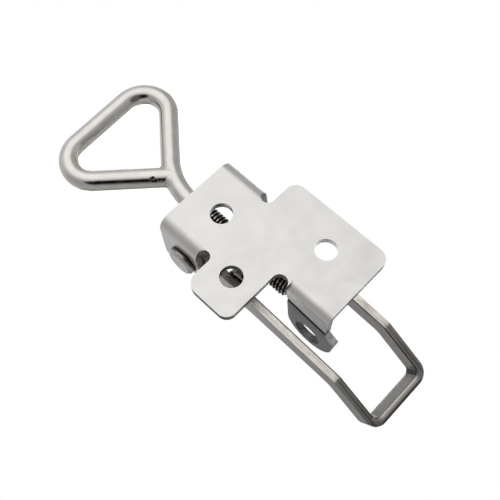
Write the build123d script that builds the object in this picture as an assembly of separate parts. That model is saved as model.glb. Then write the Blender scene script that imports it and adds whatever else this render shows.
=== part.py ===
from build123d import *
import math
import os

# Adjustable over centre toggle latch in stainless steel.
# +X points to the draw bail, +Y to the wide flange and +Z away from the mounting surface.
# The origin is the centre of the front screw hole on the mounting face.
# All sizes are millimetres, all angles degrees.

# --- sheet of the base plate ---
SHEET = 2.0
PLATE_FRONT_X = 9.85
PLATE_REAR_X = -38.9
TAB_EDGE_Y = -19.75
FLANGE_EDGE_Y = 20.05
TAB_REAR_X = -21.35
TAB_FRONT_RADIUS = 3.6
TAB_REAR_RADIUS = 2.8
FLANGE_RADIUS = 3.2

# --- relief slots beside the folds ---
EAR_RELIEF_X = -5.1
EAR_RELIEF_WIDTH = 3.8
EAR_RELIEF_Y = 9.85
LUG_RELIEF_WIDTH = 4.25
LUG_RELIEF_Y = -1.55
RELIEF_HEIGHT = 3.2

# --- screw holes ---
SCREW_HOLE_DIAMETER = 6.0
FRONT_HOLE = (0, 0)
TAB_HOLE = (-14.05, -10.7)
FLANGE_HOLE = (-25.9, 10.7)

# --- ears that carry the handle ---
EAR_CENTRE_Y = 0.3
EAR_HALF_WIDTH = 13.0
EAR_TOP_Z = 17.2
EAR_TOP_FRONT_X = 9.3
EAR_TOP_REAR_X = 0.8
EAR_SHOULDER_X = -4.1
EAR_SHOULDER_Z = 10.6
EAR_CORNER_RADIUS = 2.5
EAR_BEND_RADIUS = 3.8

# --- padlock lug ---
LUG_OUTER_Y = -3.3
LUG_BEND_RADIUS = 2.8
LUG_HEAD_X = -34.1
LUG_HEAD_Z = 15.8
LUG_HEAD_RADIUS = 7.4
LUG_SHOULDER_Z = 10.8
LUG_HEEL_X = -41.9
LUG_HEEL_Z = 12.2
LUG_HEEL_RADIUS = 0.8
LUG_CREASE_FRONT_Z = 7.2
LUG_CREASE_REAR_Z = 8.9
LUG_CREASE_WIDTH = 1.9
LUG_CREASE_DEPTH = 0.4
PADLOCK_HOLE_DIAMETER = 8.0
PADLOCK_HOLE_X = -33.5
PADLOCK_HOLE_Z = 18.0

# --- handle pivot and its rivets ---
PIVOT_X = 2.0
PIVOT_Z = 10.8
RIVET_DIAMETER = 5.0
RIVET_HEAD_DIAMETER = 8.6
RIVET_HEAD_HEIGHT = 1.7
RIVET_HEAD_CHAMFER = 0.7
RIVET_COLLAR_DIAMETER = 7.4
RIVET_COLLAR_HEIGHT = 1.0
COLLAR_SIDE_CLEARANCE = 0.1
RIVET_RUNNING_CLEARANCE = 0.05

# --- handle, one strip blanked flat and folded into a U ---
STRIP = 2.2
STRIP_HEIGHT = 4.8
ARM_SIDE_CLEARANCE = 0.1
ARM_EYE_RADIUS = 4.2
ARM_NECK_X = -20.6
ARM_NECK_HEIGHT = 5.9
ARM_EDGE_FRONT_X = -6.0
ARM_EDGE_FRONT_Z = 5.85
KINK_X = -48.4
KINK_Z = 9.96
KINK_RADIUS = 0.8
TAIL_ANGLE = 32.5
TAIL_LENGTH = 17.4
CROSSBAR_BEND_OUTER = 3.8

# --- trunnion that carries the draw bail ---
TRUNNION_X = -14.5
TRUNNION_Z = 8.9
TRUNNION_DIAMETER = 9.0
TRUNNION_SIDE_CLEARANCE = 0.15
TRUNNION_CHAMFER = 0.4
JOURNAL_DIAMETER = 3.2
JOURNAL_CLEARANCE = 0.05
JOURNAL_EYE_RADIUS = 3.0

# --- draw bail, one wire with a threaded shank and a welded loop ---
WIRE_DIAMETER = 5.6
THREAD_CORE_DIAMETER = 4.84
THREAD_CLEARANCE = 0.08
THREAD_REAR_X = -24.9
THREAD_FRONT_X = 8.0
THREAD_TIP_CHAMFER = 0.7
NECK_X = 19.5
NECK_RADIUS = 20.5
LOOP_RIGHT_CORNER = (50.3, 27.3)
LOOP_LEFT_CORNER = (47.6, -26.2)
LOOP_CORNER_RADIUS = 7.3
WELD_ANGLE = 26.9

# --- sizes that follow from the ones above ---
ARM_OUTER_Y = EAR_HALF_WIDTH - SHEET - EAR_CENTRE_Y - ARM_SIDE_CLEARANCE
ARM_INNER_Y = ARM_OUTER_Y - STRIP
RELIEF_REAR_X = EAR_RELIEF_X - EAR_RELIEF_WIDTH / 2
EAR_REAR_X = EAR_RELIEF_X + EAR_RELIEF_WIDTH / 2
LUG_FRONT_X = TAB_REAR_X - LUG_RELIEF_WIDTH
LUG_BEND_Y = LUG_OUTER_Y + LUG_BEND_RADIUS
LUG_TOP_Z = LUG_HEAD_Z + LUG_HEAD_RADIUS
TRUNNION_SHOULDER_Y = ARM_INNER_Y - TRUNNION_SIDE_CLEARANCE
COLLAR_OUTER_Y = ARM_INNER_Y - COLLAR_SIDE_CLEARANCE
TRUNNION_BORE_DIAMETER = THREAD_CORE_DIAMETER + 2 * THREAD_CLEARANCE


def rectangle(x0, x1, y0, y1):
    """A rectangle from its limits."""
    return Pos((x0 + x1) / 2, (y0 + y1) / 2) * Rectangle(abs(x1 - x0), abs(y1 - y0))


def side_plane(y):
    """Plane at the given Y whose local x and y are the world X and Z; it faces -Y."""
    return Plane(origin=(0, y, 0), x_dir=(1, 0, 0), z_dir=(0, -1, 0))


def across(sketch, y0, y1):
    """A side outline given thickness from y0 to y1, y0 being the more positive."""
    return extrude(side_plane(y0) * sketch, y0 - y1)


def cylinder_along_y(x, z, diameter, y0, y1):
    """A round bar parallel to Y between two Y values."""
    return across(Pos(x, z) * Circle(diameter / 2), max(y0, y1), min(y0, y1))


def ear_face(side):
    """Y of the outer face of the ear on the given side."""
    return EAR_CENTRE_Y + side * EAR_HALF_WIDTH


def bend_profile(outer_y, radius, side, top_z):
    """Section in YZ of a bend that turns up into a wall with its outer face at outer_y."""
    bend_y = outer_y - side * radius
    inner_y = outer_y - side * SHEET
    inner_radius = radius - SHEET
    half = math.radians(45)
    outer_mid = (bend_y + side * radius * math.sin(half), radius - radius * math.cos(half))
    inner_mid = (bend_y + side * inner_radius * math.sin(half), radius - inner_radius * math.cos(half))
    outline = [
        ThreePointArc((bend_y, 0), outer_mid, (outer_y, radius)),
        Line((outer_y, radius), (outer_y, top_z)),
        Line((outer_y, top_z), (inner_y, top_z)),
        Line((inner_y, top_z), (inner_y, radius)),
        ThreePointArc((inner_y, radius), inner_mid, (bend_y, SHEET)),
        Line((bend_y, SHEET), (bend_y, 0)),
    ]
    return make_face(outline)


def bend_wall(outer_y, radius, side, top_z, x0, x1):
    """A bend and its standing wall along X from x0 to x1."""
    section = Plane(origin=(x0, 0, 0), x_dir=(0, 1, 0), z_dir=(1, 0, 0))
    return extrude(section * bend_profile(outer_y, radius, side, top_z), x1 - x0)


def rim_at(solid, axis, position):
    """The round edges of a solid at one position along an axis."""
    return solid.edges().filter_by(GeomType.CIRCLE).filter_by_position(axis, position, position)


def relief(x0, x1, inner_y, side):
    """A slot open to one side, its inner end round."""
    radius = (x1 - x0) / 2
    centre_x = (x0 + x1) / 2
    centre_y = inner_y + side * radius
    mouth = rectangle(x0, x1, centre_y, side * 2 * FLANGE_EDGE_Y)
    return Pos(centre_x, centre_y) * Circle(radius) + mouth


def plate_outline():
    """The flat of the base plate between its bend lines, before the reliefs are cut."""
    left_bend = ear_face(-1) + EAR_BEND_RADIUS
    right_bend = ear_face(1) - EAR_BEND_RADIUS
    web = rectangle(PLATE_REAR_X, PLATE_FRONT_X, LUG_BEND_Y, right_bend)
    front = rectangle(TAB_REAR_X, PLATE_FRONT_X, left_bend, right_bend)
    tab = rectangle(TAB_REAR_X, RELIEF_REAR_X, TAB_EDGE_Y, 0)
    tab = fillet(corner(tab, RELIEF_REAR_X, TAB_EDGE_Y), TAB_FRONT_RADIUS)
    tab = fillet(corner(tab, TAB_REAR_X, TAB_EDGE_Y), TAB_REAR_RADIUS)
    flange = rectangle(PLATE_REAR_X, RELIEF_REAR_X, 0, FLANGE_EDGE_Y)
    flange = fillet(corner(flange, RELIEF_REAR_X, FLANGE_EDGE_Y), FLANGE_RADIUS)
    flange = fillet(corner(flange, PLATE_REAR_X, FLANGE_EDGE_Y), FLANGE_RADIUS)
    ear_land_y = EAR_RELIEF_Y + EAR_RELIEF_WIDTH / 2
    ear_lands = rectangle(RELIEF_REAR_X, EAR_RELIEF_X, -ear_land_y, ear_land_y)
    lug_land = rectangle(LUG_FRONT_X, TAB_REAR_X, LUG_RELIEF_Y - LUG_RELIEF_WIDTH / 2, 0)
    return web + front + tab + flange + ear_lands + lug_land


def corner(sketch, x, y):
    """The corner of a sketch nearest to a point."""
    return sketch.vertices().sort_by_distance((x, y, 0))[:1]


def ear_outline():
    """Side outline of an ear: square in front, sloped behind."""
    rounded = [(EAR_TOP_FRONT_X, EAR_TOP_Z), (EAR_TOP_REAR_X, EAR_TOP_Z), (EAR_SHOULDER_X, EAR_SHOULDER_Z)]
    points = [
        (EAR_REAR_X, RELIEF_HEIGHT),
        (EAR_REAR_X, -SHEET),
        (PLATE_FRONT_X, -SHEET),
        (PLATE_FRONT_X, RELIEF_HEIGHT),
        *rounded,
    ]
    outline = make_face(Polyline(*points, close=True))
    for x, z in rounded:
        outline = fillet(corner(outline, x, z), EAR_CORNER_RADIUS)
    return outline


def lug_outline():
    """Side outline of the padlock lug: a round head on a neck, with a heel over the plate's rear edge."""
    neck = make_face(
        Polyline(
            (PLATE_REAR_X, -SHEET),
            (LUG_FRONT_X, -SHEET),
            (LUG_FRONT_X, LUG_BEND_RADIUS),
            (LUG_HEAD_X + LUG_HEAD_RADIUS, LUG_HEAD_Z),
            (LUG_HEAD_X - LUG_HEAD_RADIUS, LUG_HEAD_Z),
            (LUG_HEEL_X, LUG_HEEL_Z),
            (PLATE_REAR_X, LUG_SHOULDER_Z),
            close=True,
        )
    )
    neck = fillet(corner(neck, LUG_HEEL_X, LUG_HEEL_Z), LUG_HEEL_RADIUS)
    head = Pos(LUG_HEAD_X, LUG_HEAD_Z) * Circle(LUG_HEAD_RADIUS)
    return neck + head


def lug_crease():
    """Shallow round groove along the lug's outer face where the coined lug meets the bend."""
    radius = (LUG_CREASE_WIDTH**2 / 4 + LUG_CREASE_DEPTH**2) / (2 * LUG_CREASE_DEPTH)
    centre_y = LUG_OUTER_Y - radius + LUG_CREASE_DEPTH
    run = LUG_FRONT_X - PLATE_REAR_X
    middle_x = (LUG_FRONT_X + PLATE_REAR_X) / 2
    middle_z = (LUG_CREASE_FRONT_Z + LUG_CREASE_REAR_Z) / 2
    direction = (run, 0, LUG_CREASE_FRONT_Z - LUG_CREASE_REAR_Z)
    middle = Plane(origin=(middle_x, centre_y, middle_z), z_dir=direction)
    return extrude(middle * Circle(radius), run, both=True)


def base_plate():
    """One folded sheet: flat with tab and flange, two ears and the padlock lug."""
    plate = extrude(plate_outline(), SHEET)
    ear_limits = across(ear_outline(), 2 * EAR_HALF_WIDTH, -2 * EAR_HALF_WIDTH)
    bend_zone = extrude(
        rectangle(EAR_RELIEF_X, EAR_REAR_X, -2 * EAR_HALF_WIDTH, 2 * EAR_HALF_WIDTH), RELIEF_HEIGHT
    )
    for side in (-1, 1):
        wall = bend_wall(ear_face(side), EAR_BEND_RADIUS, side, EAR_TOP_Z, EAR_RELIEF_X, PLATE_FRONT_X)
        plate += wall & (ear_limits + bend_zone)
    lug = bend_wall(LUG_OUTER_Y, LUG_BEND_RADIUS, -1, LUG_TOP_Z, LUG_HEEL_X, LUG_FRONT_X)
    plate += lug & across(lug_outline(), LUG_BEND_Y, LUG_OUTER_Y)
    plate -= lug_crease()
    for side in (-1, 1):
        plate -= extrude(relief(RELIEF_REAR_X, EAR_REAR_X, side * EAR_RELIEF_Y, side), RELIEF_HEIGHT)
    plate -= extrude(relief(LUG_FRONT_X, TAB_REAR_X, LUG_RELIEF_Y, -1), RELIEF_HEIGHT)
    for x, y in (FRONT_HOLE, TAB_HOLE, FLANGE_HOLE):
        plate -= Pos(x, y) * extrude(Circle(SCREW_HOLE_DIAMETER / 2), SHEET)
    plate -= cylinder_along_y(
        PADLOCK_HOLE_X, PADLOCK_HOLE_Z, PADLOCK_HOLE_DIAMETER, LUG_OUTER_Y, LUG_OUTER_Y + SHEET
    )
    plate -= cylinder_along_y(PIVOT_X, PIVOT_Z, RIVET_DIAMETER, ear_face(-1), ear_face(1))
    return plate


def arm_outline():
    """Side outline of a handle arm from the pivot eye to the crossbar bend."""
    tail = math.radians(TAIL_ANGLE)
    along = (-math.cos(tail), math.sin(tail))
    normal = (math.sin(tail), math.cos(tail))
    reach = TAIL_LENGTH - CROSSBAR_BEND_OUTER
    near_end = (KINK_X + along[0] * reach, KINK_Z + along[1] * reach)
    far_end = (near_end[0] + normal[0] * STRIP_HEIGHT, near_end[1] + normal[1] * STRIP_HEIGHT)
    slope = math.atan2(KINK_Z - ARM_EDGE_FRONT_Z, ARM_EDGE_FRONT_X - KINK_X)
    half_turn = (tail + slope) / 2
    mitre = STRIP_HEIGHT / math.cos((tail - slope) / 2)
    far_kink = (KINK_X + math.sin(half_turn) * mitre, KINK_Z + math.cos(half_turn) * mitre)
    neck_near_z = KINK_Z - math.tan(slope) * (ARM_NECK_X - KINK_X)
    blade = make_face(
        Polyline(
            (PIVOT_X, PIVOT_Z - ARM_EYE_RADIUS),
            (ARM_EDGE_FRONT_X, ARM_EDGE_FRONT_Z),
            (KINK_X, KINK_Z),
            near_end,
            far_end,
            far_kink,
            (ARM_NECK_X, neck_near_z + ARM_NECK_HEIGHT),
            (PIVOT_X, PIVOT_Z + ARM_EYE_RADIUS),
            close=True,
        )
    )
    blade = fillet(corner(blade, KINK_X, KINK_Z), KINK_RADIUS)
    blade = fillet(corner(blade, *far_kink), KINK_RADIUS + STRIP_HEIGHT)
    pivot_eye = Pos(PIVOT_X, PIVOT_Z) * Circle(ARM_EYE_RADIUS)
    journal_eye = Pos(TRUNNION_X, TRUNNION_Z) * Circle(JOURNAL_EYE_RADIUS)
    return blade + pivot_eye + journal_eye


def handle():
    """Two arms and the crossbar that joins them, folded from one strip."""
    outline = arm_outline()
    arms = across(outline, ARM_OUTER_Y, ARM_INNER_Y) + across(outline, -ARM_INNER_Y, -ARM_OUTER_Y)
    tail = math.radians(TAIL_ANGLE)
    tail_plane = Plane(
        origin=(KINK_X, 0, KINK_Z),
        x_dir=(-math.cos(tail), 0, math.sin(tail)),
        z_dir=(math.sin(tail), 0, math.cos(tail)),
    )
    bend_start = TAIL_LENGTH - CROSSBAR_BEND_OUTER
    outer = rectangle(0, TAIL_LENGTH, -ARM_OUTER_Y, ARM_OUTER_Y)
    inner = rectangle(0, TAIL_LENGTH - STRIP, -ARM_INNER_Y, ARM_INNER_Y)
    for side in (-1, 1):
        outer = fillet(corner(outer, TAIL_LENGTH, side * ARM_OUTER_Y), CROSSBAR_BEND_OUTER)
        inner = fillet(
            corner(inner, TAIL_LENGTH - STRIP, side * ARM_INNER_Y), CROSSBAR_BEND_OUTER - STRIP
        )
    bow = (outer - inner) & rectangle(bend_start, TAIL_LENGTH, -ARM_OUTER_Y, ARM_OUTER_Y)
    crossbar = extrude(tail_plane * bow, STRIP_HEIGHT)
    body = arms + crossbar
    pivot_hole = RIVET_DIAMETER + 2 * RIVET_RUNNING_CLEARANCE
    journal_hole = JOURNAL_DIAMETER + 2 * JOURNAL_CLEARANCE
    body -= cylinder_along_y(PIVOT_X, PIVOT_Z, pivot_hole, ARM_OUTER_Y, -ARM_OUTER_Y)
    body -= cylinder_along_y(TRUNNION_X, TRUNNION_Z, journal_hole, ARM_OUTER_Y, -ARM_OUTER_Y)
    return body


def pivot_rivet(side):
    """Short rivet through one ear and one arm: outer head, shank and inner collar."""
    face_y = ear_face(side)
    head_y = face_y + side * RIVET_HEAD_HEIGHT
    collar_y = side * COLLAR_OUTER_Y
    collar_end_y = collar_y - side * RIVET_COLLAR_HEIGHT
    head = cylinder_along_y(PIVOT_X, PIVOT_Z, RIVET_HEAD_DIAMETER, face_y, head_y)
    head = chamfer(rim_at(head, Axis.Y, head_y), RIVET_HEAD_CHAMFER)
    shank = cylinder_along_y(PIVOT_X, PIVOT_Z, RIVET_DIAMETER, face_y, collar_y)
    collar = cylinder_along_y(PIVOT_X, PIVOT_Z, RIVET_COLLAR_DIAMETER, collar_y, collar_end_y)
    return head + shank + collar


def trunnion():
    """Cross barrel with two journals and a tapped bore for the threaded shank."""
    barrel = cylinder_along_y(
        TRUNNION_X, TRUNNION_Z, TRUNNION_DIAMETER, TRUNNION_SHOULDER_Y, -TRUNNION_SHOULDER_Y
    )
    barrel = chamfer(barrel.edges().filter_by(GeomType.CIRCLE), TRUNNION_CHAMFER)
    journals = cylinder_along_y(TRUNNION_X, TRUNNION_Z, JOURNAL_DIAMETER, ARM_OUTER_Y, -ARM_OUTER_Y)
    bore = extrude(
        Plane(origin=(TRUNNION_X - TRUNNION_DIAMETER, 0, TRUNNION_Z), x_dir=(0, 1, 0), z_dir=(1, 0, 0))
        * Circle(TRUNNION_BORE_DIAMETER / 2),
        2 * TRUNNION_DIAMETER,
    )
    return barrel + journals - bore


def weld_point():
    """Where the left leg ends on the middle line of the neck bend, WELD_ANGLE round from its start."""
    right_leg_x, right_leg_y = LOOP_RIGHT_CORNER[0] - NECK_X, LOOP_RIGHT_CORNER[1]
    bend_start_x = NECK_X - NECK_RADIUS * math.tan(math.atan2(right_leg_y, right_leg_x) / 2)
    angle = math.radians(WELD_ANGLE)
    return (bend_start_x + NECK_RADIUS * math.sin(angle), NECK_RADIUS * (1 - math.cos(angle)))


def draw_bail():
    """Threaded shank, neck and triangular loop of one wire, its end welded to the neck."""
    section = Plane(origin=(THREAD_REAR_X, 0, TRUNNION_Z), x_dir=(0, 1, 0), z_dir=(1, 0, 0))
    core = extrude(section * Circle(THREAD_CORE_DIAMETER / 2), THREAD_FRONT_X - THREAD_REAR_X)
    core = chamfer(rim_at(core, Axis.X, THREAD_REAR_X), THREAD_TIP_CHAMFER)
    leg_end_x, leg_end_y = weld_point()
    left_leg_middle = ((LOOP_LEFT_CORNER[0] + leg_end_x) / 2, (LOOP_LEFT_CORNER[1] + leg_end_y) / 2)
    route = FilletPolyline(
        (THREAD_FRONT_X, 0, TRUNNION_Z),
        (NECK_X, 0, TRUNNION_Z),
        (*LOOP_RIGHT_CORNER, TRUNNION_Z),
        (*LOOP_LEFT_CORNER, TRUNNION_Z),
        (*left_leg_middle, TRUNNION_Z),
        radius=[NECK_RADIUS, LOOP_CORNER_RADIUS, LOOP_CORNER_RADIUS],
    )
    start = Plane(origin=(THREAD_FRONT_X, 0, TRUNNION_Z), x_dir=(0, 1, 0), z_dir=(1, 0, 0))
    loop = sweep(start * Circle(WIRE_DIAMETER / 2), path=route)
    last_leg = Line((*left_leg_middle, TRUNNION_Z), (leg_end_x, leg_end_y, TRUNNION_Z))
    leg_end = sweep(Plane(last_leg @ 0, z_dir=last_leg % 0) * Circle(WIRE_DIAMETER / 2), path=last_leg)
    return core + loop + leg_end


def build():
    """Every piece by the name of its node."""
    return {
        "base_plate": base_plate(),
        "handle": handle(),
        "pivot_rivet_left": pivot_rivet(-1),
        "pivot_rivet_right": pivot_rivet(1),
        "trunnion": trunnion(),
        "draw_bail": draw_bail(),
    }


os.makedirs("parts", exist_ok=True)
for name, shape in build().items():
    shape.label = name
    export_step(shape, f"parts/{name}.step")
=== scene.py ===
import math

import bpy
from bpy.props import FloatProperty, FloatVectorProperty, IntProperty, PointerProperty
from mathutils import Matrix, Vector


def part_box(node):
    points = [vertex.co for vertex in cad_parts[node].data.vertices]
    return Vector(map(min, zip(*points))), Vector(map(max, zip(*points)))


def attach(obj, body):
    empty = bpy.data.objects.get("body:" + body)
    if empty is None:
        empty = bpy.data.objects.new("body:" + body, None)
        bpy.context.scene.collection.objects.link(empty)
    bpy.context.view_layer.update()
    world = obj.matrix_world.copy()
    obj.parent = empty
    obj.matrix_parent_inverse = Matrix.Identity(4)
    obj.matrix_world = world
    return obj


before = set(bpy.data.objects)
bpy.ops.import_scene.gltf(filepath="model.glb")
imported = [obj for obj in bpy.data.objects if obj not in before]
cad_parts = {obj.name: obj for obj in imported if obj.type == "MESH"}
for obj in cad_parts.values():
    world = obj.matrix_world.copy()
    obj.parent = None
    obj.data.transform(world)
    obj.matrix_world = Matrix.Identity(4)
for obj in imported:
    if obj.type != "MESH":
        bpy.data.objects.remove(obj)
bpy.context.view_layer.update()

bl_info = {
    "name": "Over Centre Toggle Latch",
    "version": (1, 0, 0),
    "blender": (4, 5, 0),
    "location": "3D View > Sidebar > Toggle Latch",
    "description": "Steel finishes, thread, weld and a studio for an over centre toggle latch",
    "category": "Object",
}

MM = 0.001

# The folded base plate. A crease crosses the padlock lug from its front edge up to its rear one.
SHEET_THICKNESS = 2.0 * MM
SCREW_HOLE_RADIUS = 3.0 * MM
BURNISHED_HOLES = ((0.0, 0.0), (-25.9 * MM, 10.7 * MM))
PADLOCK_HOLE_RADIUS = 4.0 * MM
PADLOCK_HOLE_X = -33.5 * MM
PADLOCK_HOLE_Z = 18.0 * MM
LUG_MIDDLE_Y = -2.3 * MM
LUG_FOOT_Z = 3.0 * MM
CREASE_FRONT_X = -25.6 * MM
CREASE_FRONT_Z = 7.2 * MM
CREASE_REAR_X = -38.9 * MM
CREASE_REAR_Z = 8.9 * MM
DARK_EDGE_TOP = 9.0 * MM

# The strip handle. Its cut edges look up and down, tilted a little in front of the kink.
STRIP_THICKNESS = 2.2 * MM
ARM_INNER_Y = 8.4 * MM
ARM_EDGE_DIRECTION = (0.096, 0, 0.995)
KINK_X = -48.4 * MM
KINK_Z = 9.96 * MM
TAIL_ANGLE = math.radians(32.5)
TAIL_LENGTH = 17.4 * MM
CROSSBAR_BEND = 3.8 * MM

# Scorched pits on the wire beside its weld: centre and radius.
SCORCHED_PITS = (
    ((23.85 * MM, -2.98 * MM, 6.50 * MM), 0.55 * MM),
    ((22.90 * MM, -2.70 * MM, 6.95 * MM), 0.60 * MM),
    ((23.40 * MM, -3.20 * MM, 7.00 * MM), 0.55 * MM),
    ((21.70 * MM, -1.60 * MM, 7.03 * MM), 0.30 * MM),
)

# The thread: the angle of its flanks, the turns over which it runs out, and how deep its foot is sunk.
FLANK_ANGLE = math.radians(30)
RUN_OUT_TURNS = 0.75
THREAD_FOOT = 0.97

# The weld fillet: its fineness, and how far its hidden side is sunk in the wire.
FILLET_POINTS = 96
FILLET_STEPS = 8
JOINT_HALVINGS = 40
JOINT_INSET = 0.985
NECK_SINK = 0.05 * MM
ROOT_SINK = 0.5 * MM
ROOT_SET_BACK = 0.2 * MM
LEG_SINK = 0.12 * MM
LEG_SET_BACK = 0.1 * MM

# The first colour paints shade and the fourth a highlight; the others are the metal's own and the dome's.
PAINTED_SHADE_COLOUR = (0.030, 0.028, 0.026, 1.0)
SCORCH_COLOUR = (0.035, 0.028, 0.022, 1.0)
BURNISHED_COLOUR = (0.95, 0.95, 0.94, 1.0)
PAINTED_HIGHLIGHT_COLOUR = (0.97, 0.93, 0.88, 1.0)
WHITE = (1.0, 1.0, 1.0, 1.0)

# How much of the noise's range a finish is spread over: the less, the harder the edges of its patches.
SOFT_PATCHES = (0.30, 0.70)
CLEAR_PATCHES = (0.35, 0.65)
HARD_PATCHES = (0.40, 0.60)
# Rays sent out to round an edge and to find a recess.
ROUNDING_SAMPLES = 6
SHELTER_SAMPLES = 8

# The studio. Lamps: name, place, target, side of the square, power in watts.
SENSOR_WIDTH = 36.0
NEAREST_SEEN = 5.0 * MM
LAMPS = (
    ("lamp_below", (0.24, 0.10, -0.52), (0.0, 0.0, 0.0), 0.60, 0.10),
    ("lamp_above", (0.28, 0.54, 1.20), (0.0, 0.0, 0.01), 1.10, 7.6),
)
# The dome's light rises between two levels towards one side.
BRIGHT_SIDE = (0.93, 0.37, 0.0)
DOME_LEVELS = (0.34, 0.60)
# Discs on the dome: direction, angle in degrees to which they are full, and angle at which they end. Cards
# also have the share of the light that they leave.
GREY_CARDS = (
    ((0.25, 0.93, -0.25), 12, 45, 0.72),
    ((-0.067, -0.468, 0.881), 13, 24, 0.6),
    ((0.305, -0.945, -0.116), 8, 40, 0.78),
)
DARK_CARDS = (
    ((-0.834, -0.302, -0.462), 28, 43, 0.3),
    ((-0.42, -0.66, -0.62), 12, 25, 0.01),
)
SURROUND = ((0.41, 0.05, -0.911), 5, 52)
SURROUND_SHARE = 0.86
# Metal shows the surround in its first mirrorings only, so that recesses stay dark.
LAST_SURROUND_DEPTH = 2.5


# ---------------------------------------------------------------- settings


class LatchFinishSettings(bpy.types.PropertyGroup):
    """Colours, roughness and edges of the steel pieces."""

    sheet_colour: FloatVectorProperty(
        name="Sheet colour",
        description="Steel of the folded base plate",
        subtype="COLOR",
        size=3,
        min=0.0,
        max=1.0,
        default=(0.83, 0.815, 0.795),
    )
    sheet_roughness: FloatProperty(
        name="Sheet roughness",
        description="Middle roughness of the base plate",
        default=0.33,
        min=0.05,
        max=1.0,
        subtype="FACTOR",
    )
    strip_colour: FloatVectorProperty(
        name="Strip colour",
        description="Rolled faces of the handle strip",
        subtype="COLOR",
        size=3,
        min=0.0,
        max=1.0,
        default=(0.54, 0.53, 0.51),
    )
    sheared_colour: FloatVectorProperty(
        name="Sheared colour",
        description="Blanked edges of the handle strip",
        subtype="COLOR",
        size=3,
        min=0.0,
        max=1.0,
        default=(0.90, 0.85, 0.785),
    )
    # The coined lug's colour is darker as painted shade.
    coined_shade_colour: FloatVectorProperty(
        name="Coined colour",
        description="Duller pressed face of the padlock lug",
        subtype="COLOR",
        size=3,
        min=0.0,
        max=1.0,
        default=(0.35, 0.35, 0.365),
    )
    wire_colour: FloatVectorProperty(
        name="Wire colour",
        description="Drawn wire of the bail",
        subtype="COLOR",
        size=3,
        min=0.0,
        max=1.0,
        default=(0.80, 0.775, 0.735),
    )
    # The thread's colour is darker than the wire's as painted shade.
    shaded_thread_colour: FloatVectorProperty(
        name="Thread colour",
        description="Rolled thread of the bail shank",
        subtype="COLOR",
        size=3,
        min=0.0,
        max=1.0,
        default=(0.42, 0.41, 0.39),
    )
    rivet_colour: FloatVectorProperty(
        name="Rivet colour",
        description="Pivot rivets",
        subtype="COLOR",
        size=3,
        min=0.0,
        max=1.0,
        default=(0.68, 0.665, 0.64),
    )
    # The barrel's colour is darker than the rivets' as painted shade.
    shaded_barrel_colour: FloatVectorProperty(
        name="Barrel colour",
        description="Turned cross barrel",
        subtype="COLOR",
        size=3,
        min=0.0,
        max=1.0,
        default=(0.42, 0.41, 0.395),
    )
    sheet_edge_width: FloatProperty(
        name="Sheet edge width",
        description="How far the sheared edges of the base plate are broken",
        default=0.22 * MM,
        min=0.0,
        unit="LENGTH",
    )
    strip_edge_width: FloatProperty(
        name="Strip edge width",
        description="How far the edges of the handle strip are rolled over",
        default=0.42 * MM,
        min=0.0,
        unit="LENGTH",
    )
    rivet_edge_width: FloatProperty(
        name="Rivet edge width",
        description="How far the edges of the rivet heads are broken",
        default=0.15 * MM,
        min=0.0,
        unit="LENGTH",
    )


class LatchThreadSettings(bpy.types.PropertyGroup):
    """The thread on the shank of the bail."""

    pitch: FloatProperty(
        name="Pitch",
        description="Advance of the thread in one turn",
        default=1.0 * MM,
        min=0.2 * MM,
        unit="LENGTH",
    )
    crest_diameter: FloatProperty(
        name="Crest diameter",
        description="Diameter over the crests",
        default=5.94 * MM,
        unit="LENGTH",
    )
    core_diameter: FloatProperty(
        name="Core diameter",
        description="Diameter of the shank between the crests",
        default=4.84 * MM,
        unit="LENGTH",
    )
    crest_width: FloatProperty(
        name="Crest width",
        description="Flat left on the top of a crest",
        default=0.14 * MM,
        unit="LENGTH",
    )
    tip_chamfer: FloatProperty(
        name="Tip chamfer",
        description="Length of shank before the first crest",
        default=0.7 * MM,
        unit="LENGTH",
    )
    front_x: FloatProperty(
        name="Front end",
        description="Where the thread runs out into the wire",
        default=8.0 * MM,
        unit="LENGTH",
    )
    segments: IntProperty(
        name="Segments",
        description="Steps in one turn of the thread",
        default=36,
        min=12,
        max=96,
    )


class LatchBailSettings(bpy.types.PropertyGroup):
    """The wire loop, as far as its weld needs it."""

    wire_diameter: FloatProperty(
        name="Wire diameter",
        description="Diameter of the drawn wire",
        default=5.6 * MM,
        unit="LENGTH",
    )
    weld_point: FloatVectorProperty(
        name="Weld point",
        description="Where the left leg ends on the middle line of the neck",
        subtype="TRANSLATION",
        unit="LENGTH",
        size=3,
        default=(20.99 * MM, 2.21 * MM, 8.9 * MM),
    )
    left_corner: FloatVectorProperty(
        name="Left corner",
        description="Where the middle lines of the left leg and the front bar meet",
        subtype="TRANSLATION",
        unit="LENGTH",
        size=3,
        default=(47.6 * MM, -26.2 * MM, 8.9 * MM),
    )
    neck_centre: FloatVectorProperty(
        name="Neck centre",
        description="Centre of the bend between the shank and the right leg",
        subtype="TRANSLATION",
        unit="LENGTH",
        size=3,
        default=(11.72 * MM, 20.5 * MM, 8.9 * MM),
    )
    neck_radius: FloatProperty(
        name="Neck radius",
        description="Radius of the neck bend on its middle line",
        default=20.5 * MM,
        unit="LENGTH",
    )
    weld_reach: FloatProperty(
        name="Weld reach",
        description="How far the weld runs out along the leg and round the neck",
        default=1.5 * MM,
        unit="LENGTH",
    )


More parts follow.
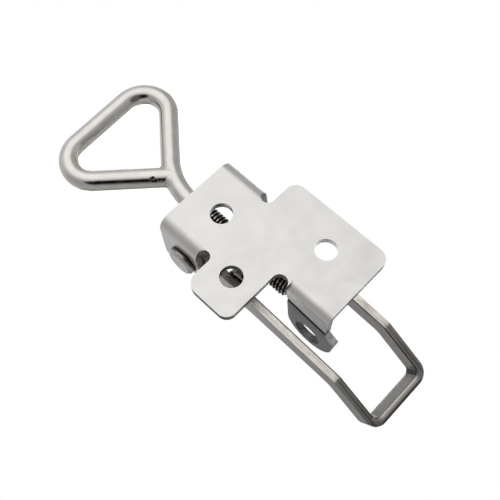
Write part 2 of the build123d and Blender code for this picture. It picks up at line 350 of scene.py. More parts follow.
class LatchStageSettings(bpy.types.PropertyGroup):
    """Floor, camera and light."""

    floor_size: FloatProperty(
        name="Floor size",
        description="Length of each side of the floor",
        default=6.0,
        unit="LENGTH",
    )
    floor_gap: FloatProperty(
        name="Floor gap",
        description="Distance of the floor below the mounting face",
        default=0.8 * MM,
        unit="LENGTH",
    )
    floor_colour: FloatVectorProperty(
        name="Floor colour",
        description="Pale matt floor",
        subtype="COLOR",
        size=3,
        min=0.0,
        max=1.0,
        default=(0.88, 0.88, 0.87),
    )
    camera_place: FloatVectorProperty(
        name="Camera place",
        description="The camera looks at the mounting side",
        subtype="TRANSLATION",
        unit="LENGTH",
        size=3,
        default=(-68.12 * MM, -58.43 * MM, -165.61 * MM),
    )
    camera_turn: FloatVectorProperty(
        name="Camera turn",
        description="Rotation of the camera",
        subtype="EULER",
        unit="ROTATION",
        size=3,
        default=(math.radians(-154.479), math.radians(-0.477), math.radians(136.125)),
    )
    camera_lens: FloatProperty(
        name="Lens",
        description="Focal length in millimetres on a 36 mm sensor",
        default=53.44,
        min=10.0,
        unit="CAMERA",
    )
    lamp_power: FloatProperty(
        name="Lamp power",
        description="Multiplies every lamp",
        default=1.0,
        min=0.0,
    )
    sky_level: FloatProperty(
        name="Sky level",
        description="Brightness of the studio dome",
        default=1.0,
        min=0.0,
    )


class LatchSettings(bpy.types.PropertyGroup):
    """All settings of the toggle latch."""

    finish: PointerProperty(type=LatchFinishSettings)
    thread: PointerProperty(type=LatchThreadSettings)
    bail: PointerProperty(type=LatchBailSettings)
    stage: PointerProperty(type=LatchStageSettings)


# ---------------------------------------------------------------- material helpers


def new_material(name):
    """A material with an empty node tree that ends in a metal shader."""
    material = bpy.data.materials.new(name)
    material.use_nodes = True
    tree = material.node_tree
    tree.nodes.clear()
    output = tree.nodes.new("ShaderNodeOutputMaterial")
    metal = tree.nodes.new("ShaderNodeBsdfPrincipled")
    metal.inputs["Metallic"].default_value = 1.0
    tree.links.new(metal.outputs["BSDF"], output.inputs["Surface"])
    return material, tree, metal


def put(tree, kind, **values):
    """A node of the given kind with its settings, and with its sockets fed or filled.

    A socket is given by its name, with _ for a space, or by _ and its number.
    """
    node = tree.nodes.new(kind)
    on_sockets = {}
    for key, value in values.items():
        if hasattr(node, key):
            setattr(node, key, value)
        else:
            on_sockets[key] = value
    for key, value in on_sockets.items():
        socket = node.inputs[int(key[1:])] if key[1:].isdigit() else node.inputs[key.replace("_", " ")]
        if isinstance(value, bpy.types.NodeSocket):
            tree.links.new(value, socket)
        else:
            socket.default_value = value
    return node


def place_in_metal(tree):
    """Coordinates that move with the piece."""
    return put(tree, "ShaderNodeTexCoord").outputs["Object"]


def surface_direction(tree):
    """The direction that a face looks in, in the frame of its piece."""
    return put(tree, "ShaderNodeTexCoord").outputs["Normal"]


def parts_of(tree, vector):
    """The three parts of a vector."""
    split = put(tree, "ShaderNodeSeparateXYZ", Vector=vector)
    return split.outputs["X"], split.outputs["Y"], split.outputs["Z"]


def joined(tree, **parts):
    """A vector of the parts named X, Y and Z, with 0 for the others."""
    return put(tree, "ShaderNodeCombineXYZ", **parts).outputs["Vector"]


def component(tree, vector, direction):
    """How far a vector reaches in a direction."""
    product = put(tree, "ShaderNodeVectorMath", operation="DOT_PRODUCT", _0=vector, _1=direction)
    return product.outputs["Value"]


def distance(tree, place, point):
    """How far a place is from a point."""
    length = put(tree, "ShaderNodeVectorMath", operation="DISTANCE", _0=place, _1=point)
    return length.outputs["Value"]


def clouds(tree, place, size, stretch=(1.0, 1.0, 1.0), detail=3.0, roughness=0.5):
    """Noise whose patches are about size metres across, stretched along an axis by a factor."""
    finer = tuple(1.0 / (size * factor) for factor in stretch)
    scaled = put(tree, "ShaderNodeVectorMath", operation="MULTIPLY", _0=place, _1=finer).outputs["Vector"]
    field = put(tree, "ShaderNodeTexNoise", Vector=scaled, Scale=1.0, Detail=detail, Roughness=roughness)
    return field.outputs["Fac"]


def spread(tree, value, low, high, to_low=0.0, to_high=1.0, smooth=False):
    """A value carried from one range to another and held at its ends."""
    mapped = put(
        tree,
        "ShaderNodeMapRange",
        interpolation_type="SMOOTHSTEP" if smooth else "LINEAR",
        Value=value,
        From_Min=low,
        From_Max=high,
        To_Min=to_low,
        To_Max=to_high,
    )
    return mapped.outputs["Result"]


def sums(tree, operation, first, second=0.0):
    """One arithmetic step."""
    return put(tree, "ShaderNodeMath", operation=operation, _0=first, _1=second).outputs["Value"]


def times(tree, first, *others):
    """The product of two or more values."""
    for other in others:
        first = sums(tree, "MULTIPLY", first, other)
    return first


def either(tree, first, second):
    """1 where one mask or the other is."""
    return sums(tree, "MAXIMUM", first, second)


def outside(tree, mask):
    """1 where a mask is 0, and 0 where it is 1."""
    return sums(tree, "SUBTRACT", 1.0, mask)


def unsigned(tree, value):
    """A value without its sign."""
    return sums(tree, "ABSOLUTE", value)


def blend_numbers(tree, factor, first, second):
    """A number between two."""
    return put(tree, "ShaderNodeMix", data_type="FLOAT", _0=factor, _2=first, _3=second).outputs[0]


def blend_colours(tree, factor, first, second):
    """A colour between two."""
    return put(tree, "ShaderNodeMix", data_type="RGBA", _0=factor, _6=first, _7=second).outputs[2]


def shade(colour, factor):
    """A colour made lighter or darker, with full alpha."""
    return tuple(min(1.0, channel * factor) for channel in colour) + (1.0,)


def mottled(tree, noise, patches, colour, darker, lighter):
    """A colour that wanders with the noise between a darker and a lighter shade of itself."""
    return blend_colours(tree, spread(tree, noise, *patches), shade(colour, darker), shade(colour, lighter))


def wandering(tree, noise, low, high):
    """A number that wanders with the noise between two others."""
    return spread(tree, noise, *SOFT_PATCHES, low, high)


def rounded_normal(tree, radius):
    """The surface's normal as if its edges were rounded."""
    return put(tree, "ShaderNodeBevel", samples=ROUNDING_SAMPLES, Radius=radius).outputs["Normal"]


def bump(tree, height, depth, under=None):
    """A normal raised by a height from 0 to 1, depth metres deep, over another."""
    node = put(tree, "ShaderNodeBump", Height=height, Distance=depth, Strength=1.0)
    if under is not None:
        tree.links.new(under, node.inputs["Normal"])
    return node.outputs["Normal"]


def edge_mask(tree, radius):
    """1 along sharp edges, 0 on open faces."""
    true = put(tree, "ShaderNodeNewGeometry").outputs["Normal"]
    return spread(tree, component(tree, rounded_normal(tree, radius), true), 0.995, 0.85)


def recess_mask(tree, reach, open_sky, shut_sky):
    """1 where metal within reach leaves less than shut_sky of the view free, 0 where it leaves open_sky."""
    shelter = put(tree, "ShaderNodeAmbientOcclusion", samples=SHELTER_SAMPLES, Distance=reach)
    return spread(tree, shelter.outputs["AO"], open_sky, shut_sky)


def round_wall(tree, from_axis, radius):
    """1 on the wall of a round hole and inside it, 0 in the metal around it."""
    return spread(tree, from_axis, radius + 0.1 * MM, radius + 0.05 * MM)


def finish_metal(tree, metal, colour, dull, normal, recess_shade, reach=7 * MM, open_sky=0.85, shut_sky=0.4):
    """Feeds colour, roughness and normal to the metal, with painted shade darkening its recesses."""
    recess = times(tree, recess_mask(tree, reach, open_sky, shut_sky), recess_shade)
    tree.links.new(blend_colours(tree, recess, colour, PAINTED_SHADE_COLOUR), metal.inputs["Base Color"])
    tree.links.new(dull, metal.inputs["Roughness"])
    tree.links.new(normal, metal.inputs["Normal"])


# ---------------------------------------------------------------- finishes


def sheet_finish(finish):
    """Satin sheet with cloudy patches, rough sheared edges and burnished holes. The coined lug is duller and
    darker as painted shade; its crease and padlock hole have painted shade too, and the cut edges are darker
    low down.
    """
    colour = finish.sheet_colour
    material, tree, metal = new_material("sheet_finish")
    place = place_in_metal(tree)
    x, y, z = parts_of(tree, place)
    facing_x, facing_y, facing_z = (unsigned(tree, part) for part in parts_of(tree, surface_direction(tree)))
    speckle = clouds(tree, place, 0.5 * MM, detail=4.0, roughness=0.65)
    tint = mottled(tree, clouds(tree, place, 9 * MM, detail=4.0), CLEAR_PATCHES, colour, 0.96, 1.03)
    tint = blend_colours(tree, edge_mask(tree, 0.25 * MM), tint, shade(colour, 1.1))

    # The lug stands on edge, so its cut faces look along x and z, and the plate's along x and y.
    from_lug = unsigned(tree, sums(tree, "SUBTRACT", y, LUG_MIDDLE_Y))
    on_lug = times(
        tree,
        spread(tree, from_lug, SHEET_THICKNESS / 2 + 0.5 * MM, SHEET_THICKNESS / 2 + 0.3 * MM),
        spread(tree, z, LUG_FOOT_Z, LUG_FOOT_Z + 0.5 * MM),
    )
    on_plate = spread(tree, z, SHEET_THICKNESS + 0.12 * MM, SHEET_THICKNESS + 0.02 * MM)
    side = either(tree, spread(tree, facing_x, 0.6, 0.8), on_plate)
    cut_plate = times(tree, side, spread(tree, facing_z, 0.2, 0.1))
    cut_lug = times(tree, on_lug, spread(tree, facing_y, 0.7, 0.4))
    sheared = either(tree, cut_plate, cut_lug)

    # The press coined the lug above its crease. That face is duller, and its colour is darker as painted
    # shade.
    crease_slope = (CREASE_REAR_Z - CREASE_FRONT_Z) / (CREASE_FRONT_X - CREASE_REAR_X)
    crease_height = CREASE_FRONT_Z + CREASE_FRONT_X * crease_slope
    past_crease = sums(tree, "SUBTRACT", sums(tree, "ADD", z, times(tree, x, crease_slope)), crease_height)
    coined = times(tree, on_lug, spread(tree, past_crease, -0.3 * MM, 0.3 * MM), outside(tree, sheared))
    # Painted shade: a dark band along the lug's crease.
    groove = times(tree, spread(tree, facing_y, 0.975, 0.95), spread(tree, facing_y, 0.75, 0.85), on_lug, 0.8)

    # The walls of the screw holes are burnished. The padlock hole's wall is darkened as painted shade, and
    # the cut edges are darker below about 9 mm.
    in_hole = 0.0
    for hole_x, hole_y in BURNISHED_HOLES:
        from_axis = distance(tree, joined(tree, X=x, Y=y), (hole_x, hole_y, 0))
        in_hole = either(tree, in_hole, round_wall(tree, from_axis, SCREW_HOLE_RADIUS))
    in_hole = times(tree, in_hole, spread(tree, facing_z, 0.7, 0.4))
    from_axis = distance(tree, joined(tree, X=x, Z=z), (PADLOCK_HOLE_X, 0, PADLOCK_HOLE_Z))
    in_padlock_hole = round_wall(tree, from_axis, PADLOCK_HOLE_RADIUS)

    torn = mottled(tree, speckle, HARD_PATCHES, finish.sheared_colour, 0.75, 1.3)
    shaded_hole_and_dark_edges = either(tree, in_padlock_hole, spread(tree, z, DARK_EDGE_TOP + 0.5 * MM, DARK_EDGE_TOP))
    torn = blend_colours(tree, times(tree, shaded_hole_and_dark_edges, 0.72), torn, PAINTED_SHADE_COLOUR)
    # Painted shade: the coined face takes the darker colour.
    pressed = mottled(tree, speckle, SOFT_PATCHES, finish.coined_shade_colour, 0.9, 1.1)
    tint = blend_colours(tree, sheared, tint, torn)
    tint = blend_colours(tree, coined, tint, pressed)
    tint = blend_colours(tree, groove, tint, PAINTED_SHADE_COLOUR)
    tint = blend_colours(tree, in_hole, tint, BURNISHED_COLOUR)

    satin = finish.sheet_roughness
    dull = wandering(tree, clouds(tree, place, 4 * MM, detail=5.0), satin - 0.045, satin + 0.05)
    dull = sums(tree, "ADD", dull, times(tree, either(tree, sheared, coined), 0.14))
    waves = bump(tree, clouds(tree, place, 7 * MM, detail=1.0), 0.02 * MM)
    rough = times(tree, speckle, times(tree, sheared, outside(tree, in_hole)))
    rough = bump(tree, rough, 0.12 * MM, waves)
    ripple = bump(tree, clouds(tree, place, 1.4 * MM, detail=1.0), 0.003 * MM, rough)
    # Painted shade in the recesses, left off the burnished hole walls.
    recess_shade = sums(tree, "SUBTRACT", 0.85, in_hole)
    finish_metal(tree, metal, tint, dull, ripple, recess_shade, reach=5 * MM, open_sky=0.8, shut_sky=0.3)
    return material


def strip_finish(finish):
    """Rolled strip: drawn lines on its faces, streaked cut edges darkened behind the kink as painted shade,
    painted highlight and shade on the crossbar's cut edge, dark rolled-over inner corners.
    """
    material, tree, metal = new_material("strip_finish")
    place = place_in_metal(tree)
    x, y, z = parts_of(tree, place)
    facing = surface_direction(tree)
    tail_cos, tail_sin = math.cos(TAIL_ANGLE), math.sin(TAIL_ANGLE)
    crossbar_start = -KINK_X * tail_cos + KINK_Z * tail_sin + TAIL_LENGTH - CROSSBAR_BEND
    in_tail = spread(tree, x, KINK_X + 0.1 * MM, KINK_X - 0.1 * MM)
    up_tail = component(tree, place, (tail_sin, 0, tail_cos))
    down_tail = component(tree, place, (-tail_cos, 0, tail_sin))
    past_start = sums(tree, "SUBTRACT", down_tail, crossbar_start)
    in_crossbar = spread(tree, past_start, 0.0, 0.4 * MM)

    # The strip laid out flat: its length, its thickness and its height.
    lengthwise = blend_numbers(tree, in_tail, x, down_tail)
    laid = joined(
        tree,
        X=blend_numbers(tree, in_crossbar, lengthwise, y),
        Y=blend_numbers(tree, in_crossbar, y, lengthwise),
        Z=blend_numbers(tree, in_tail, z, up_tail),
    )
    facing_arm_edge = component(tree, facing, ARM_EDGE_DIRECTION)
    facing_tail_edge = component(tree, facing, (tail_sin, 0, tail_cos))
    facing_edge = unsigned(tree, blend_numbers(tree, in_tail, facing_arm_edge, facing_tail_edge))
    edge = spread(tree, facing_edge, 0.55, 0.85)

    speckle = clouds(tree, laid, 0.5 * MM, stretch=(3.5, 0.8, 1.0), detail=5.0, roughness=0.65)
    streaks = clouds(tree, laid, 0.28 * MM, stretch=(22.0, 1.0, 1.0), detail=3.0)
    marks = sums(tree, "ADD", times(tree, speckle, 0.45), times(tree, streaks, 0.55))
    rolled = mottled(tree, streaks, CLEAR_PATCHES, finish.strip_colour, 0.85, 1.12)
    # Painted shade darkens the crossbar's rolled faces.
    rolled = blend_colours(tree, times(tree, in_crossbar, 0.42), rolled, PAINTED_SHADE_COLOUR)
    cut = mottled(tree, marks, HARD_PATCHES, finish.sheared_colour, 0.74, 1.12)

    # Painted shade: behind the kink the cut edges, which face away from the light, are darkened, most of all
    # along the torn line down their middle.
    ragged_x = sums(tree, "ADD", x, wandering(tree, speckle, -0.5 * MM, 0.5 * MM))
    shaded_tail = spread(tree, ragged_x, KINK_X + 1.3 * MM, KINK_X - 0.4 * MM)
    from_middle = unsigned(tree, sums(tree, "SUBTRACT", unsigned(tree, y), ARM_INNER_Y + STRIP_THICKNESS / 2))
    torn_line = spread(tree, from_middle, 0.5 * MM, 0.1 * MM, 0.0, 0.22)
    tail_shade = sums(tree, "ADD", spread(tree, past_start, -11 * MM, -2 * MM, 0.42, 0.56), torn_line)
    cut = blend_colours(tree, times(tree, shaded_tail, tail_shade), cut, PAINTED_SHADE_COLOUR)

    # The crossbar's cut edge has a painted highlight along its inner side and painted shade along its outer
    # one.
    crossbar_inside = CROSSBAR_BEND - STRIP_THICKNESS
    highlight_and_crest = times(
        tree,
        spread(tree, past_start, crossbar_inside + 0.05 * MM, crossbar_inside + 0.25 * MM),
        spread(tree, past_start, crossbar_inside + 1.4 * MM, crossbar_inside + 0.85 * MM),
        spread(tree, unsigned(tree, y), ARM_INNER_Y - 0.3 * MM, ARM_INNER_Y - 1.9 * MM),
    )
    # Painted shade along the outer side of the crossbar's cut edge.
    outer_edge_shade = spread(tree, past_start, crossbar_inside + 1.35 * MM, crossbar_inside + 1.9 * MM)
    cut = blend_colours(tree, highlight_and_crest, cut, PAINTED_HIGHLIGHT_COLOUR)
    cut = blend_colours(tree, times(tree, outer_edge_shade, 0.95), cut, PAINTED_SHADE_COLOUR)

    # The punch rolled the inner corners over, and a thin dark line is laid along them.
    inward = times(tree, parts_of(tree, facing)[1], sums(tree, "SIGN", y), -1.0)
    rolled_over = times(tree, spread(tree, inward, 0.2, 0.45), spread(tree, inward, 0.99, 0.9))
    corner_end = ARM_INNER_Y + finish.strip_edge_width
    inner_line = spread(tree, unsigned(tree, y), corner_end, ARM_INNER_Y + 0.25 * MM)
    inner_line = times(tree, inner_line, times(tree, edge, outside(tree, in_crossbar)))
    tint = blend_colours(tree, edge, rolled, cut)
    tint = blend_colours(tree, times(tree, either(tree, inner_line, rolled_over), 0.85), tint, PAINTED_SHADE_COLOUR)

    dull = spread(tree, sums(tree, "ADD", edge, wandering(tree, speckle, -0.2, 0.2)), 0.0, 1.0, 0.29, 0.40)
    softened = rounded_normal(tree, blend_numbers(tree, in_crossbar, 0.15 * MM, 1.3 * MM))
    fine = bump(tree, streaks, 0.006 * MM, softened)
    rough = bump(tree, times(tree, marks, edge), 0.03 * MM, fine)
    finish_metal(tree, metal, tint, dull, rough, recess_shade=0.94, reach=8 * MM)
    return material


def wire_finish(colour):
    """Drawn wire, polished, with scorched pits beside the weld."""
    material, tree, metal = new_material("wire_finish")
    place = place_in_metal(tree)
    ragged = clouds(tree, place, 0.7 * MM, detail=5.0, roughness=0.6)
    scorch = 0.0
    for centre, radius in SCORCHED_PITS:
        rim = wandering(tree, ragged, -0.7 * radius, 0.7 * radius)
        reach = sums(tree, "ADD", distance(tree, place, centre), rim)
        scorch = either(tree, scorch, spread(tree, reach, radius, 0.75 * radius))
    tint = mottled(tree, clouds(tree, place, 3 * MM, detail=4.0), CLEAR_PATCHES, colour, 0.95, 1.04)
    tint = blend_colours(tree, scorch, tint, SCORCH_COLOUR)
    dull = wandering(tree, clouds(tree, place, 1.5 * MM, detail=4.0), 0.13, 0.20)
    dull = sums(tree, "ADD", dull, times(tree, scorch, 0.25))
    waves = bump(tree, clouds(tree, place, 3.5 * MM, detail=1.0), 0.03 * MM)
    pitted = bump(tree, outside(tree, scorch), 0.08 * MM, waves)
    finish_metal(tree, metal, tint, dull, pitted, recess_shade=0.5)
    return material


def thread_finish(colour, axis_z, root, crest):
    """Cut thread: crests in the thread's colour, which is darker as painted shade, over roots darkened
    further as painted shade.
    """
    material, tree, metal = new_material("thread_finish")
    place = place_in_metal(tree)
    _, y, z = parts_of(tree, place)
    from_axis = distance(tree, joined(tree, Y=y, Z=z), (0, 0, axis_z))
    highlight_and_crest = spread(tree, from_axis, root + 0.3 * (crest - root), crest)
    bright = mottled(tree, clouds(tree, place, 0.8 * MM, detail=4.0), CLEAR_PATCHES, colour, 0.75, 1.1)
    # Painted shade: the roots are darkened.
    tint = blend_colours(tree, highlight_and_crest, shade(colour, 0.12), bright)
    dull = wandering(tree, clouds(tree, place, 0.5 * MM), 0.29, 0.42)
    fine = bump(tree, clouds(tree, place, 0.15 * MM), 0.01 * MM)
    finish_metal(tree, metal, tint, dull, fine, recess_shade=0.97, reach=10 * MM, open_sky=0.9, shut_sky=0.6)
    return material


def weld_finish(colour):
    """Weld metal, blended in and a little heat tinted."""
    material, tree, metal = new_material("weld_finish")
    place = place_in_metal(tree)
    patches = clouds(tree, place, 1.2 * MM, detail=4.0, roughness=0.6)
    tint = mottled(tree, patches, HARD_PATCHES, colour, 0.72, 1.0)
    dull = wandering(tree, clouds(tree, place, 0.5 * MM), 0.18, 0.26)
    ripple = bump(tree, clouds(tree, place, 0.6 * MM), 0.03 * MM)
    finish_metal(tree, metal, tint, dull, ripple, recess_shade=0.5)
    return material


def turned_finish(name, colour, centre, ring_width):
    """Metal turned about an axis parallel to Y: fine rings on its ends, fine lines round its side."""
    material, tree, metal = new_material(name)
    place = place_in_metal(tree)
    x, y, z = parts_of(tree, place)
    radius = distance(tree, joined(tree, X=x, Z=z), (centre.x, 0, centre.z))
    travel = sums(tree, "ADD", radius, sums(tree, "SUBTRACT", y, centre.y))
    scale = 1.0 / ring_width
    rings = put(tree, "ShaderNodeTexNoise", noise_dimensions="1D", W=travel, Scale=scale, Detail=3.0)
    rings = rings.outputs["Fac"]
    tint = mottled(tree, clouds(tree, place, 1.2 * MM, detail=4.0), CLEAR_PATCHES, colour, 0.88, 1.08)
    tint = blend_colours(tree, edge_mask(tree, 0.2 * MM), tint, shade(colour, 1.2))
    dull = wandering(tree, rings, 0.14, 0.24)
    lines = bump(tree, rings, 0.006 * MM)
    uneven = bump(tree, clouds(tree, place, 0.5 * MM), 0.02 * MM, lines)
    finish_metal(tree, metal, tint, dull, uneven, recess_shade=0.94, reach=4 * MM, open_sky=0.9, shut_sky=0.55)
    return material


# ---------------------------------------------------------------- shared steps


def settings():
    """The settings of the latch in the current scene."""
    return bpy.context.scene.toggle_latch


def node_object(name):
    """The object of a CAD node."""
    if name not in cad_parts:
        raise RuntimeError(f"the packed latch has no node named {name}")
    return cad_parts[name]


def give_finish(obj, material):
    """Every material slot of an object takes one finish."""
    if not obj.material_slots:
        obj.data.materials.append(material)
    for slot in obj.material_slots:
        slot.material = material


def round_edges(obj, width):
    """Breaks the sharp edges of a CAD node: its flat faces are joined, then every hard edge is rounded."""
    welded = obj.modifiers.new("join_points", "WELD")
    welded.merge_threshold = 0.002 * MM
    flats = obj.modifiers.new("join_flats", "DECIMATE")
    flats.decimate_type = "DISSOLVE"
    flats.angle_limit = math.radians(0.5)
    edges = obj.modifiers.new("broken_edges", "BEVEL")
    edges.width = width
    edges.segments = 2
    edges.limit_method = "ANGLE"
    edges.angle_limit = math.radians(35)
    edges.miter_outer = "MITER_ARC"
    edges.harden_normals = False
    shading = obj.modifiers.new("even_shading", "WEIGHTED_NORMAL")
    shading.keep_sharp = False
    shading.weight = 60


def new_piece(name, points, faces, body, finish):
    """A smooth mesh piece that rides on a body of the latch."""
    mesh = bpy.data.meshes.new(name)
    mesh.from_pydata(points, [], faces)
    mesh.validate()
    mesh.update()
    mesh.shade_smooth()
    mesh.set_sharp_from_angle(angle=math.radians(40))
    piece = bpy.data.objects.new(name, mesh)
    bpy.context.scene.collection.objects.link(piece)
    give_finish(piece, finish)
    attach(piece, body)
    return piece


def ring_faces(rings, count, closed):
    """Quads between rings of count points each. If closed, the last ring joins the first."""
    faces = []
    last = rings if closed else rings - 1
    for i in range(last):
        here, there = i * count, ((i + 1) % rings) * count
        for j in range(count):
            k = (j + 1) % count
            faces.append((here + j, here + k, there + k, there + j))
    return faces


# ---------------------------------------------------------------- operators


class LATCH_OT_base_plate(bpy.types.Operator):
    """Finish the folded base plate"""

    bl_idname = "latch.base_plate"
    bl_label = "Base plate"

    def execute(self, context):
        finish = settings().finish
        plate = node_object("base_plate")
        give_finish(plate, sheet_finish(finish))
        round_edges(plate, finish.sheet_edge_width)
        return {"FINISHED"}


class LATCH_OT_handle(bpy.types.Operator):
    """Finish the strip handle"""

    bl_idname = "latch.handle"
    bl_label = "Handle"

    def execute(self, context):
        finish = settings().finish
        strip = node_object("handle")
        give_finish(strip, strip_finish(finish))
        round_edges(strip, finish.strip_edge_width)
        return {"FINISHED"}


class LATCH_OT_rivets(bpy.types.Operator):
    """Finish the two pivot rivets"""

    bl_idname = "latch.rivets"
    bl_label = "Pivot rivets"

    def execute(self, context):
        finish = settings().finish
        low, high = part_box("pivot_rivet_left")
        material = turned_finish("rivet_finish", finish.rivet_colour, (low + high) / 2, ring_width=0.25 * MM)
        for name in ("pivot_rivet_left", "pivot_rivet_right"):
            give_finish(node_object(name), material)
            round_edges(node_object(name), finish.rivet_edge_width)
        return {"FINISHED"}


class LATCH_OT_trunnion(bpy.types.Operator):
    """Finish the cross barrel"""

    bl_idname = "latch.trunnion"
    bl_label = "Cross barrel"

    def execute(self, context):
        finish = settings().finish
        low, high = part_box("trunnion")
        material = turned_finish("barrel_finish", finish.shaded_barrel_colour, (low + high) / 2, ring_width=0.2 * MM)
        give_finish(node_object("trunnion"), material)
        return {"FINISHED"}


class LATCH_OT_bail(bpy.types.Operator):
    """Finish the wire of the draw bail"""

    bl_idname = "latch.bail"
    bl_label = "Draw bail"

    def execute(self, context):
        give_finish(node_object("draw_bail"), wire_finish(settings().finish.wire_colour))
        return {"FINISHED"}


class LATCH_OT_thread(bpy.types.Operator):
    """Cut the thread on the shank of the bail"""

    bl_idname = "latch.thread"
    bl_label = "Shank thread"

    def execute(self, context):
        thread = settings().thread
        low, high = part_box("draw_bail")
        axis_z = (low.z + high.z) / 2
        start = low.x + thread.tip_chamfer
        root = thread.core_diameter / 2
        crest = thread.crest_diameter / 2
        top_half = thread.crest_width / 2
        foot_half = top_half + (crest - root) * math.tan(FLANK_ANGLE)
        foot = root * THREAD_FOOT
        steps = int((thread.front_x - start) / thread.pitch * thread.segments)
        run_out = int(thread.segments * RUN_OUT_TURNS)
        if steps < 2 * run_out:
            raise RuntimeError("the thread is too short to run out at both ends")
        points = []
        for i in range(steps + 1):
            angle = 2 * math.pi * i / thread.segments
            middle = start + thread.pitch * i / thread.segments
            rise = min(1.0, i / run_out, (steps - i) / run_out)
            top = root + (crest - root) * rise
            for offset, radius in ((-foot_half, foot), (-top_half, top), (top_half, top), (foot_half, foot)):
                points.append((middle + offset, radius * math.cos(angle), axis_z + radius * math.sin(angle)))
        faces = ring_faces(steps + 1, 4, closed=False)
        faces.append((3, 2, 1, 0))
        end = steps * 4
        faces.append((end, end + 1, end + 2, end + 3))
        material = thread_finish(settings().finish.shaded_thread_colour, axis_z, root, crest)
        new_piece("shank_thread", points, faces, "bail", material)
        return {"FINISHED"}


class LATCH_OT_weld(bpy.types.Operator):
    """Lay the weld fillet where the loop closes on its neck"""

    bl_idname = "latch.weld"
    bl_label = "Loop weld"

    def execute(self, context):
        bail = settings().bail
        radius = bail.wire_diameter / 2
        weld = Vector(bail.weld_point)
        along = (Vector(bail.left_corner) - weld).normalized()
        centre = Vector(bail.neck_centre)
        points = []
        for point in self.joint_line(radius, weld, along, centre, bail.neck_radius):
            outward = (point - weld - along * (point - weld).dot(along)).normalized()
            on_leg = point + along * bail.weld_reach
            on_neck = point + outward * bail.weld_reach
            flat = on_neck - centre
            flat.z = 0
            core = centre + flat.normalized() * bail.neck_radius
            on_neck = core + (on_neck - core).normalized() * radius
            for j in range(FILLET_STEPS + 1):
                t = j / FILLET_STEPS
                points.append(on_leg * (1 - t) ** 2 + point * 2 * t * (1 - t) + on_neck * t**2)
            points[-1] -= (on_neck - core).normalized() * NECK_SINK
            points.append(point - outward * ROOT_SINK - along * ROOT_SET_BACK)
            points.append(on_leg - outward * LEG_SINK - along * LEG_SET_BACK)
        faces = ring_faces(FILLET_POINTS, FILLET_STEPS + 3, closed=True)
        material = weld_finish(settings().finish.wire_colour)
        new_piece("loop_weld", points, faces, "bail", material)
        return {"FINISHED"}

    def joint_line(self, radius, weld, along, centre, neck_radius):
        """Points round the leg, just under its skin, where it comes out of the neck."""
        up = Vector((0, 0, 1))
        side = along.cross(up)

        def outside_neck(point):
            flat = point - centre
            height = flat.z
            flat.z = 0
            return math.hypot(flat.length - neck_radius, height) - radius

        joint = []
        for i in range(FILLET_POINTS):
            angle = 2 * math.pi * i / FILLET_POINTS
            start = weld + (side * math.cos(angle) + up * math.sin(angle)) * radius * JOINT_INSET
            near, far = 0.0, 4 * radius
            if outside_neck(start + along * far) < 0:
                raise RuntimeError("the left leg never comes out of the neck")
            for _ in range(JOINT_HALVINGS):
                middle = (near + far) / 2
                if outside_neck(start + along * middle) < 0:
                    near = middle
                else:
                    far = middle
            joint.append(start + along * near)
        return joint


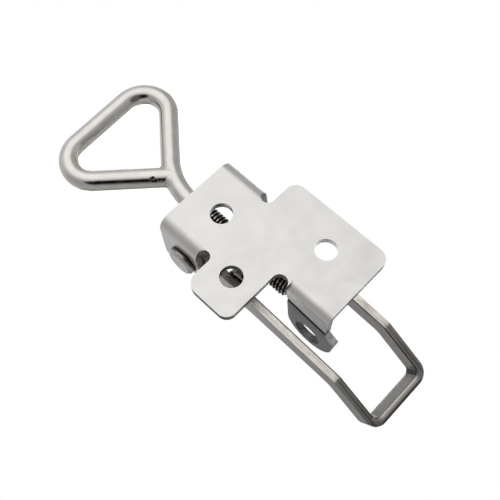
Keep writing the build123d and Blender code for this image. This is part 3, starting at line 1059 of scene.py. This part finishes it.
class LATCH_OT_stage(bpy.types.Operator):
    """Floor, camera, lamps and studio dome"""

    bl_idname = "latch.stage"
    bl_label = "Stage"

    def execute(self, context):
        stage = settings().stage
        self.add_floor(stage)
        self.add_camera(stage)
        self.add_lamps(stage)
        self.add_dome(stage)
        context.scene.view_settings.view_transform = "Standard"
        return {"FINISHED"}

    def add_floor(self, stage):
        """A floor seen from above only. It takes shadows but throws none, and metal doesn't mirror it."""
        half = stage.floor_size / 2
        level = -stage.floor_gap
        mesh = bpy.data.meshes.new("studio_floor")
        rim = [(-half, -half, level), (half, -half, level), (half, half, level), (-half, half, level)]
        mesh.from_pydata(rim, [], [(0, 1, 2, 3)])
        floor = bpy.data.objects.new("studio_floor", mesh)
        bpy.context.scene.collection.objects.link(floor)
        material = bpy.data.materials.new("floor_finish")
        material.use_nodes = True
        tree = material.node_tree
        tree.nodes.clear()
        matt = put(tree, "ShaderNodeBsdfDiffuse", Color=tuple(stage.floor_colour) + (1.0,)).outputs["BSDF"]
        clear = put(tree, "ShaderNodeBsdfTransparent").outputs["BSDF"]
        rays = put(tree, "ShaderNodeLightPath").outputs
        hidden = put(tree, "ShaderNodeNewGeometry").outputs["Backfacing"]
        for kind in ("Is Shadow Ray", "Is Glossy Ray", "Is Transmission Ray"):
            hidden = either(tree, hidden, rays[kind])
        mix = put(tree, "ShaderNodeMixShader", _0=hidden, _1=matt, _2=clear)
        output = tree.nodes.new("ShaderNodeOutputMaterial")
        tree.links.new(mix.outputs["Shader"], output.inputs["Surface"])
        mesh.materials.append(material)
        # The recesses of the metal are found as if the floor weren't there.
        floor.visible_shadow = False

    def add_camera(self, stage):
        """The camera, turned to the mounting side."""
        data = bpy.data.cameras.new("camera")
        data.sensor_width = SENSOR_WIDTH
        data.lens = stage.camera_lens
        data.clip_start = NEAREST_SEEN
        camera = bpy.data.objects.new("camera", data)
        camera.location = stage.camera_place
        camera.rotation_euler = stage.camera_turn
        bpy.context.scene.collection.objects.link(camera)
        bpy.context.scene.camera = camera

    def add_lamps(self, stage):
        """Soft boxes, one below the mounting face and one above the floor."""
        for name, place, target, side, power in LAMPS:
            data = bpy.data.lights.new(name, "AREA")
            data.shape = "SQUARE"
            data.size = side
            data.energy = power * stage.lamp_power
            lamp = bpy.data.objects.new(name, data)
            lamp.location = place
            lamp.rotation_euler = (Vector(target) - Vector(place)).to_track_quat("-Z", "Y").to_euler()
            bpy.context.scene.collection.objects.link(lamp)

    def add_dome(self, stage):
        """A dim dome with dark cards. The camera sees it white, and metal mirrors a bright surround in it."""
        world = bpy.data.worlds.new("studio_dome")
        bpy.context.scene.world = world
        world.use_nodes = True
        tree = world.node_tree
        tree.nodes.clear()
        direction = put(tree, "ShaderNodeTexCoord").outputs["Generated"]

        def disc(centre, inner, outer):
            """1 within an angle of a direction, falling softly to 0 at a wider angle."""
            low, high = math.cos(math.radians(outer)), math.cos(math.radians(inner))
            return spread(tree, component(tree, direction, centre), low, high, smooth=True)

        def light_left(cards):
            """The share of the light that a group of cards leaves in each direction."""
            left = 1.0
            for centre, inner, outer, share in cards:
                left = times(tree, left, spread(tree, disc(centre, inner, outer), 0.0, 1.0, 1.0, share))
            return left

        beside_dark_cards = light_left(DARK_CARDS)
        level = spread(tree, component(tree, direction, BRIGHT_SIDE), -1.0, 1.0, *DOME_LEVELS)
        level = times(tree, level, light_left(GREY_CARDS), beside_dark_cards, stage.sky_level)
        surround = times(tree, disc(*SURROUND), beside_dark_cards, SURROUND_SHARE)
        rays = put(tree, "ShaderNodeLightPath").outputs
        in_metal_or_glass = either(tree, rays["Is Glossy Ray"], rays["Is Transmission Ray"])
        early = sums(tree, "LESS_THAN", rays["Ray Depth"], LAST_SURROUND_DEPTH)
        mirrored = times(tree, surround, times(tree, in_metal_or_glass, early))
        shown = either(tree, mirrored, rays["Is Camera Ray"])
        grey = joined(tree, X=level, Y=level, Z=level)
        dome = put(tree, "ShaderNodeBackground", Color=grey, Strength=1.0).outputs["Background"]
        white = put(tree, "ShaderNodeBackground", Color=WHITE, Strength=1.0).outputs["Background"]
        mix = put(tree, "ShaderNodeMixShader", _0=shown, _1=dome, _2=white)
        output = tree.nodes.new("ShaderNodeOutputWorld")
        tree.links.new(mix.outputs["Shader"], output.inputs["Surface"])


PIECE_OPERATORS = (
    LATCH_OT_base_plate,
    LATCH_OT_handle,
    LATCH_OT_rivets,
    LATCH_OT_trunnion,
    LATCH_OT_bail,
    LATCH_OT_thread,
    LATCH_OT_weld,
    LATCH_OT_stage,
)


class LATCH_PT_panel(bpy.types.Panel):
    """Lists the pieces of the latch"""

    bl_idname = "LATCH_PT_panel"
    bl_label = "Toggle Latch"
    bl_space_type = "VIEW_3D"
    bl_region_type = "UI"
    bl_category = "Toggle Latch"

    def draw(self, context):
        for operator in PIECE_OPERATORS:
            self.layout.operator(operator.bl_idname)


CLASSES = (
    LatchFinishSettings,
    LatchThreadSettings,
    LatchBailSettings,
    LatchStageSettings,
    LatchSettings,
    *PIECE_OPERATORS,
    LATCH_PT_panel,
)


def register():
    """Registers the settings, operators and panel."""
    for cls in CLASSES:
        bpy.utils.register_class(cls)
    bpy.types.Scene.toggle_latch = PointerProperty(type=LatchSettings)


def unregister():
    """Takes them out again."""
    del bpy.types.Scene.toggle_latch
    for cls in reversed(CLASSES):
        bpy.utils.unregister_class(cls)


def main():
    """Builds the whole scene."""
    register()
    bpy.ops.latch.base_plate()
    bpy.ops.latch.handle()
    bpy.ops.latch.rivets()
    bpy.ops.latch.trunnion()
    bpy.ops.latch.bail()
    bpy.ops.latch.thread()
    bpy.ops.latch.weld()
    bpy.ops.latch.stage()


if __name__ == "__main__":
    main()
